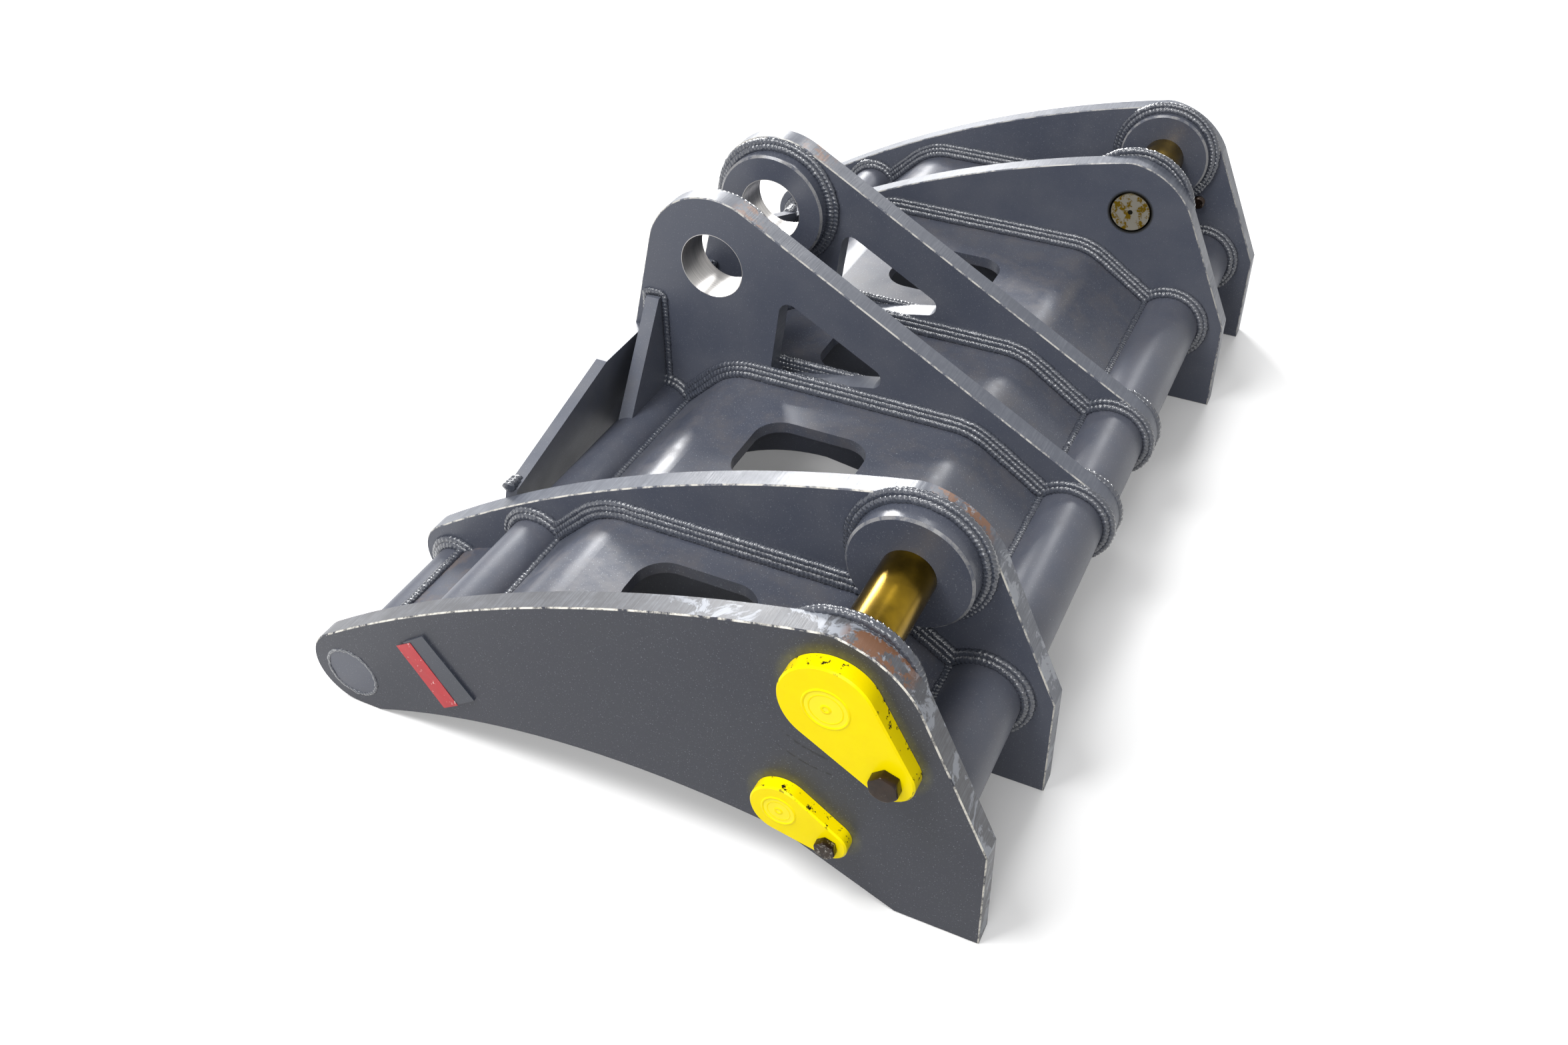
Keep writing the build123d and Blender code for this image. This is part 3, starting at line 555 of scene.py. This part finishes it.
def weldPass(route, closed, place):
    along, out, width, height = place
    runs = list(zip(route, route[1:] + route[:1] if closed else route[1:]))
    length = sum(dist(a, b) for a, b in runs)
    ripples = max(2, round(length / weldLook["pitch"]))
    pitch = length / ripples / 1000
    deselectAll()
    bpy.ops.mesh.primitive_circle_add(vertices=weldLook["sides"], radius=0.5, rotation=(0, pi / 2, 0))
    bead = bpy.context.object
    bpy.ops.object.transform_apply(rotation=True)
    bpy.ops.object.mode_set(mode="EDIT")
    bpy.ops.mesh.select_all(action="SELECT")
    for swell in weldLook["swells"]:
        bpy.ops.mesh.extrude_region_move(TRANSFORM_OT_translate={"value": (pitch / 3, 0, 0)})
        bpy.ops.transform.resize(value=(1, swell, swell))
    for level in (0.28, 0.42):
        selectVertices(bead, lambda co: co.z > level)
        bpy.ops.transform.translate(value=(-pitch * weldLook["lean"], 0, 0))
    bpy.ops.mesh.select_all(action="SELECT")
    bpy.ops.transform.resize(value=(1, width / 1000, height / 1000), center_override=(0, 0, 0))
    bpy.ops.transform.translate(value=(0, along / 1000, out / 1000))
    bpy.ops.object.mode_set(mode="OBJECT")
    applyModifier(bead, "ARRAY", count=ripples, use_relative_offset=False, use_constant_offset=True,
                  constant_offset_displace=(pitch, 0, 0), use_merge_vertices=True, merge_threshold=0.0001)
    line = bpy.data.curves.new("weldRoute", "CURVE")
    line.dimensions = "2D"
    spline = line.splines.new("POLY")
    spline.points.add(len(route) - 1)
    for point, (x, y) in zip(spline.points, route):
        point.co = (x / 1000, y / 1000, 0, 1)
    spline.use_cyclic_u = closed
    guide = bpy.data.objects.new("weldRoute", line)
    bpy.context.collection.objects.link(guide)
    applyModifier(bead, "CURVE", object=guide, deform_axis="POS_X")
    bpy.data.objects.remove(guide)
    bpy.ops.object.mode_set(mode="EDIT")
    bpy.ops.mesh.select_all(action="SELECT")
    bpy.ops.mesh.remove_doubles(threshold=0.00005)
    bpy.ops.mesh.fill_holes(sides=0)
    bpy.ops.object.mode_set(mode="OBJECT")
    return bead


# flat routes stand on a plate whose face is at y; side is 1 where the face looks to +Y
def standOnPlate(beads, y, side):
    upright = Matrix(((1, 0, 0, 0), (0, 0, side, y / 1000), (0, 1, 0, 0), (0, 0, 0, 1)))
    for bead in beads:
        bead.matrix_world = upright
    return beads


# one piece from many beads, lumpy as a hand weld, with its normals outward
def weldPiece(name, beads):
    deselectAll()
    for bead in beads:
        bead.select_set(True)
    bpy.context.view_layer.objects.active = beads[0]
    bpy.ops.object.transform_apply(location=True, rotation=True, scale=True)
    if len(beads) > 1:
        bpy.ops.object.join()
    piece = bpy.context.object
    piece.name = name
    bpy.context.scene.cursor.location = (0, 0, 0)
    bpy.ops.object.origin_set(type="ORIGIN_CURSOR")
    bpy.ops.object.mode_set(mode="EDIT")
    bpy.ops.mesh.select_all(action="SELECT")
    bpy.ops.mesh.normals_make_consistent(inside=False)
    bpy.ops.object.mode_set(mode="OBJECT")
    lumps = bpy.data.textures.new("weldLumps", "CLOUDS")
    lumps.noise_scale = weldLook["lumpSize"] / 1000
    applyModifier(piece, "DISPLACE", texture=lumps, texture_coords="LOCAL", strength=weldLook["lumpHeight"] / 1000,
                  mid_level=0.5)
    bpy.ops.object.shade_smooth()
    piece.data.materials.clear()
    piece.data.materials.append(weldEnamel)
    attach(piece, "frame")
    return piece


# the same piece on the other half, with its own mesh
def mirrorPiece(piece, name):
    deselectAll()
    twin = piece.copy()
    twin.data = piece.data.copy()
    twin.name = name
    bpy.context.collection.objects.link(twin)
    twin.select_set(True)
    bpy.context.view_layer.objects.active = twin
    bpy.ops.transform.mirror(orient_type="GLOBAL", constraint_axis=(False, True, False), center_override=(0, 0, 0))
    bpy.ops.object.transform_apply(location=True, rotation=True, scale=True)
    bpy.ops.object.mode_set(mode="EDIT")
    bpy.ops.mesh.select_all(action="SELECT")
    bpy.ops.mesh.normals_make_consistent(inside=False)
    bpy.ops.object.mode_set(mode="OBJECT")
    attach(twin, "frame")
    return twin


deckRoute = roundedRoute([(-210.7, 160.3), (-137.5, 231.0), (212.0, 231.0), (315.1, 161.5)], 80.0)
toeRing = roundRoute(couplerPlan["toeTube"], 47.5)
rearRing = roundRoute(couplerPlan["rearTube"], 38.0, 40)


# the welds that every bay wall has: along the deck and round both tubes
def bayWall(y, side):
    beads = [weldPass(deckRoute, False, place) for place in weldLook["deckPasses"]]
    beads += [weldPass(toeRing, True, place) for place in weldLook["ringPasses"]]
    beads += [weldPass(rearRing, True, place) for place in weldLook["ringPasses"]]
    return standOnPlate(beads, y, side)


def roundWelds(centre, radius, y, side, passes):
    return standOnPlate([weldPass(roundRoute(centre, radius), True, place) for place in passes], y, side)


# a straight seam across a bay, in the corner that opens at an angle in degrees
def crossSeam(corner, angle, start, end, place=(0.0, 1.5, 11.0, 9.0)):
    bead = weldPass([(start, 0), (end, 0)], False, place)
    outX, outZ = cos(radians(angle)), sin(radians(angle))
    bead.matrix_world = Matrix(((0, -outZ, outX, corner[0] / 1000), (1, 0, 0, 0), (0, outX, outZ, corner[1] / 1000),
                                (0, 0, 0, 1)))
    return bead


# the seams between the deck and its two tubes
def deckSeams(start, end):
    return [crossSeam((315.1, 161.5), 101, start, end), crossSeam((-210.7, 160.3), 80, start, end)]


# seams of the back plates, and the outline round each gusset, on the ears' faces
backSeam = [(-274.0, 269.0), (-292.0, 193.0)]
gussetOutline = roundedRoute([(-271.0, 186.0), (-271.0, 328.0), (-241.0, 328.0), (-241.0, 178.0)], 8.0)

plan = couplerPlan
armBay = bayWall(-plan["outerInside"], 1) + bayWall(-plan["innerFace"], -1)
armBay += roundWelds(plan["armPin"], 71.5, -plan["outerInside"], 1, weldLook["ringPasses"])
armBay += roundWelds(plan["armPin"], 75.0, -plan["innerFace"], -1, weldLook["ringPasses"])
armBay += roundWelds(plan["hookBar"], 30.0, -plan["outerInside"], 1, weldLook["ringPasses"])
armBay += roundWelds(plan["hookBar"], 30.0, -plan["innerFace"], -1, weldLook["ringPasses"])
armBay += roundWelds(plan["hookBar"], 36.0, -plan["outerFace"], -1, ((0.0, 0.0, 4.5, 1.6),))
armBay += roundWelds(plan["hookBar"], 30.0, -plan["innerInside"], 1, ((0.0, 0.2, 7.0, 4.0),))
armBay += deckSeams(-plan["outerInside"], -plan["innerFace"])
armBay += [crossSeam((-374.8, 82.2), 91, -plan["outerInside"], -plan["innerFace"]),
           crossSeam((-276.1, 122.0), 164, -plan["outerInside"], -plan["innerFace"])]
leftArmBayWelds = weldPiece("leftArmBayWelds", armBay)
rightArmBayWelds = mirrorPiece(leftArmBayWelds, "rightArmBayWelds")
wideBay = bayWall(-plan["innerInside"], 1) + bayWall(-plan["earFace"], -1)
wideBay += deckSeams(-plan["innerInside"], -plan["earFace"])
wideBay += standOnPlate([weldPass(gussetOutline, False, (0.0, 1.0, 9.0, 6.0)),
                         weldPass(backSeam, False, (2.0, 2.0, 9.0, 8.0))], -plan["earFace"], -1)
wideBay += [crossSeam((-306.0, 190.0), 120, -plan["innerInside"] - 3, -plan["innerInside"] + 20,
                      (0.0, 0.0, 17.0, 14.0))]
leftWideBayWelds = weldPiece("leftWideBayWelds", wideBay)
rightWideBayWelds = mirrorPiece(leftWideBayWelds, "rightWideBayWelds")
middleBay = bayWall(-plan["earInside"], 1)
middleBay += roundWelds(plan["tiltBore"], 80.0, -plan["earInside"], 1, weldLook["ringPasses"])
middleBay += deckSeams(-plan["earInside"], 0)
middleBay += standOnPlate([weldPass(backSeam, False, (2.0, 2.0, 9.0, 8.0))], -plan["earInside"], 1)
leftMiddleBayWelds = weldPiece("leftMiddleBayWelds", middleBay)
rightMiddleBayWelds = mirrorPiece(leftMiddleBayWelds, "rightMiddleBayWelds")
print("weld beads on the bay walls")


# hexagon bolts with a domed chamfer, a washer face and a rolled thread
boltShapes = {
    "arm": {"axis": plan["armBolt"], "flats": 30.0, "head": 12.5, "radius": 9.9, "seat": 708.5, "tip": 645.6,
            "threadPitch": 2.5, "finish": blackBoltSteel},
    "lock": {"axis": plan["lockBolt"], "flats": 22.0, "head": 9.0, "radius": 6.9, "seat": 704.5, "tip": 649.6,
             "threadPitch": 2.0, "finish": scrapedBoltSteel},
}


def keeperBolt(kind, side):
    shape = boltShapes[kind]
    flats, head = shape["flats"] / 1000, shape["head"] / 1000
    deselectAll()
    bpy.ops.mesh.primitive_cylinder_add(vertices=72, radius=flats * 0.565, depth=head, location=(0, 0, head / 2))
    domed = bpy.context.object
    bpy.ops.object.transform_apply(location=True)
    selectVertices(domed, lambda co: co.z > head - 0.0001)
    bpy.ops.mesh.bevel(offset=flats * 0.075, segments=4, profile=0.6)
    bpy.ops.object.mode_set(mode="OBJECT")
    deselectAll()
    bpy.ops.mesh.primitive_cylinder_add(vertices=6, radius=flats / sqrt(3), depth=head, location=(0, 0, head / 2),
                                        rotation=(0, 0, radians(11)))
    bolt = bpy.context.object
    bpy.ops.object.transform_apply(location=True, rotation=True)
    applyModifier(bolt, "BOOLEAN", operation="INTERSECT", object=domed, solver="EXACT")
    applyModifier(bolt, "BEVEL", width=0.0005, segments=2, limit_method="ANGLE", angle_limit=radians(40))
    bpy.data.objects.remove(domed)
    length = (shape["seat"] - shape["tip"]) / 1000
    deselectAll()
    bpy.ops.mesh.primitive_circle_add(vertices=28, radius=shape["radius"] / 1000, location=(0, 0, 0.001))
    shank = bpy.context.object
    bpy.ops.object.transform_apply(location=True)
    bpy.ops.object.mode_set(mode="EDIT")
    bpy.ops.mesh.select_all(action="SELECT")
    plain = 0.012
    bpy.ops.mesh.extrude_region_move(TRANSFORM_OT_translate={"value": (0, 0, -plain)})
    turns = int((length - plain - 0.003) / (shape["threadPitch"] / 1000))
    for turn in range(turns):
        for ratio in (0.88, 1 / 0.88):
            bpy.ops.mesh.extrude_region_move(TRANSFORM_OT_translate={"value": (0, 0, -shape["threadPitch"] / 2000)})
            bpy.ops.transform.resize(value=(ratio, ratio, 1))
    bpy.ops.mesh.extrude_region_move(TRANSFORM_OT_translate={"value": (0, 0, -0.0015)})
    bpy.ops.transform.resize(value=(0.8, 0.8, 1))
    bpy.ops.mesh.select_all(action="SELECT")
    bpy.ops.mesh.fill_holes(sides=0)
    bpy.ops.mesh.normals_make_consistent(inside=False)
    bpy.ops.object.mode_set(mode="OBJECT")
    deselectAll()
    shank.select_set(True)
    bolt.select_set(True)
    bpy.context.view_layer.objects.active = bolt
    bpy.ops.object.join()
    outward = -1 if side == "left" else 1
    x, z = shape["axis"]
    bolt.matrix_world = Matrix.Translation((x / 1000, outward * shape["seat"] / 1000, z / 1000)) @ Matrix.Rotation(
        -outward * pi / 2, 4, "X")
    bpy.ops.object.transform_apply(location=True, rotation=True, scale=True)
    bolt.name = f"{side}{kind.capitalize()}KeeperHexBolt"
    bpy.ops.object.shade_smooth_by_angle(angle=radians(35))
    bolt.data.materials.clear()
    bolt.data.materials.append(shape["finish"])
    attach(bolt, f"{side}_{kind}_keeper_bolt_body")
    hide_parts(f"{side}_{kind}_keeper_bolt")
    return bolt


for kind in boltShapes:
    for side in ("left", "right"):
        keeperBolt(kind, side)
print("keeper bolts")


# the seam round each pin's plug under thick paint, and the plug's centre mark:
# each ring is (radius, height above the keeper's face) from its inside out, in mm
keeperRings = {
    "arm": {"axis": plan["armPin"], "face": 708.0,
            "rings": (((23.2, 0.0), (24.2, 0.8), (25.6, 0.9), (26.8, 0.0)), ((17.6, 0.0), (18.4, 0.5), (19.4, 0.0)),
                      ((2.6, 0.1), (3.4, 0.8), (5.2, 0.7), (6.6, 0.0)))},
    "lock": {"axis": plan["lockPin"], "face": 704.0,
             "rings": (((17.6, 0.0), (18.4, 0.8), (19.8, 0.9), (21.0, 0.0)), ((12.6, 0.0), (13.3, 0.5), (14.2, 0.0)),
                       ((2.2, 0.1), (3.0, 0.7), (4.4, 0.6), (5.6, 0.0)))},
}


def plugRings(kind, side):
    setup = keeperRings[kind]
    rings = []
    for profile in setup["rings"]:
        deselectAll()
        bpy.ops.mesh.primitive_circle_add(vertices=72, radius=profile[0][0] / 1000)
        ring = bpy.context.object
        bpy.ops.object.mode_set(mode="EDIT")
        bpy.ops.mesh.select_all(action="SELECT")
        for (radius, height), (nextRadius, nextHeight) in zip(profile, profile[1:]):
            bpy.ops.mesh.extrude_region_move(TRANSFORM_OT_translate={"value": (0, 0, (nextHeight - height) / 1000)})
            bpy.ops.transform.resize(value=(nextRadius / radius, nextRadius / radius, 1))
        bpy.ops.object.mode_set(mode="OBJECT")
        applyModifier(ring, "SUBSURF", levels=1, render_levels=1)
        rings.append(ring)
    deselectAll()
    for ring in rings:
        ring.select_set(True)
    bpy.context.view_layer.objects.active = rings[0]
    bpy.ops.object.join()
    piece = bpy.context.object
    brush = bpy.data.textures.new("brushMarks", "CLOUDS")
    brush.noise_scale = 0.006
    applyModifier(piece, "DISPLACE", texture=brush, texture_coords="LOCAL", strength=0.0003, mid_level=0.5)
    outward = -1 if side == "left" else 1
    x, z = setup["axis"]
    piece.matrix_world = Matrix.Translation((x / 1000, outward * setup["face"] / 1000, z / 1000)) @ Matrix.Rotation(
        -outward * pi / 2, 4, "X")
    bpy.ops.object.transform_apply(location=True, rotation=True, scale=True)
    bpy.ops.object.shade_smooth()
    piece.name = f"{side}{kind.capitalize()}PlugRings"
    piece.data.materials.clear()
    piece.data.materials.append(yellowEnamel)
    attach(piece, f"{side}_{kind}_pin_set")


for kind in keeperRings:
    for side in ("left", "right"):
        plugRings(kind, side)
print("plug rings on the keepers")


# the red label over the lower left of the pad, rippled a little
labelShape = {"centre": (-257.0, 107.0), "length": 98.0, "width": 27.0, "angle": -57.5, "thickness": 0.4,
              "out": 690.9}


def redLabel():
    deselectAll()
    shape = labelShape
    bpy.ops.mesh.primitive_plane_add(size=1)
    label = bpy.context.object
    label.name = "redLabel"
    bpy.ops.object.mode_set(mode="EDIT")
    bpy.ops.transform.resize(value=(shape["length"] / 1000, shape["width"] / 1000, 1))
    bpy.ops.mesh.subdivide(number_cuts=20)
    bpy.ops.object.mode_set(mode="OBJECT")
    ripples = bpy.data.textures.new("labelRipples", "CLOUDS")
    ripples.noise_scale = 0.02
    applyModifier(label, "DISPLACE", texture=ripples, texture_coords="LOCAL", strength=0.0006, mid_level=0.5)
    applyModifier(label, "SOLIDIFY", thickness=shape["thickness"] / 1000, offset=0.0)
    x, z = shape["centre"]
    upright = Matrix(((1, 0, 0, x / 1000), (0, 0, -1, -shape["out"] / 1000), (0, 1, 0, z / 1000), (0, 0, 0, 1)))
    label.matrix_world = upright @ Matrix.Rotation(radians(shape["angle"]), 4, "Z")
    bpy.ops.object.transform_apply(location=True, rotation=True, scale=True)
    bpy.ops.object.shade_smooth_by_angle(angle=radians(35))
    label.data.materials.append(redVinyl)
    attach(label, "frame")
    return label


redLabel()
print("label")


# pale studio: the floor and the world are white to the camera and in reflections
studioSetup = {
    "floorColour": "#E4E4E4",
    "floorBounce": "#8E8E8E",
    "floorGlow": 0.12,
    "worldStrength": 0.42,
    "lamps": (
        {"place": (-2.3, 2.9, 1.9), "size": (1.6, 0.9), "watts": 190},
        {"place": (0.3, 3.3, 3.0), "size": (0.8, 0.6), "watts": 40},
        {"place": (-1.5, -1.7, 4.0), "size": (1.8, 1.8), "watts": 170},
        {"place": (0.9, -4.0, 2.6), "size": (2.5, 1.5), "watts": 90},
    ),
}


def seenWhite(tree):
    rays = addNode(tree, "LightPath")
    seen = addNode(tree, "Math", {"operation": "MAXIMUM"},
                   {0: rays.outputs["Is Camera Ray"], 1: rays.outputs["Is Glossy Ray"]})
    return addNode(tree, "Math", {"operation": "MAXIMUM"},
                   {0: seen.outputs[0], 1: rays.outputs["Is Transmission Ray"]}).outputs[0]


deselectAll()
bpy.ops.mesh.primitive_plane_add(size=40)
floor = bpy.context.object
floor.name = "studioFloor"
floorPaint = bpy.data.materials.new("paleStudioFloor")
floorPaint.use_nodes = True
tree = floorPaint.node_tree
shader = tree.nodes["Principled BSDF"]
shader.inputs["Roughness"].default_value = 0.9
shader.inputs["Specular IOR Level"].default_value = 0.0
shader.inputs["Emission Color"].default_value = (1, 1, 1, 1)
seen = seenWhite(tree)
glow = addNode(tree, "Math", {"operation": "MULTIPLY", 1: studioSetup["floorGlow"]}, {0: seen})
pale = addNode(tree, "Mix", {"data_type": "RGBA", 6: linearColour(studioSetup["floorBounce"]),
                             7: linearColour(studioSetup["floorColour"])}, {0: seen})
tree.links.new(glow.outputs[0], shader.inputs["Emission Strength"])
tree.links.new(pale.outputs[2], shader.inputs["Base Color"])
floor.data.materials.append(floorPaint)

for number, lampSetup in enumerate(studioSetup["lamps"]):
    bpy.ops.object.light_add(type="AREA", location=lampSetup["place"])
    lamp = bpy.context.object
    lamp.name = f"softLamp{number}"
    lamp.data.shape = "RECTANGLE"
    lamp.data.size, lamp.data.size_y = lampSetup["size"]
    lamp.data.energy = lampSetup["watts"]
    lamp.rotation_euler = (Vector((0, 0, 0.15)) - lamp.location).to_track_quat("-Z", "Y").to_euler()

world = bpy.data.worlds.new("studio")
bpy.context.scene.world = world
world.use_nodes = True
tree = world.node_tree
strength = addNode(tree, "MapRange", {"To Min": studioSetup["worldStrength"], "To Max": 1.0}, {0: seenWhite(tree)})
backdrop = tree.nodes["Background"]
backdrop.inputs["Color"].default_value = (1, 1, 1, 1)
tree.links.new(strength.outputs[0], backdrop.inputs["Strength"])
bpy.context.scene.view_settings.view_transform = "Standard"
print("studio lit")
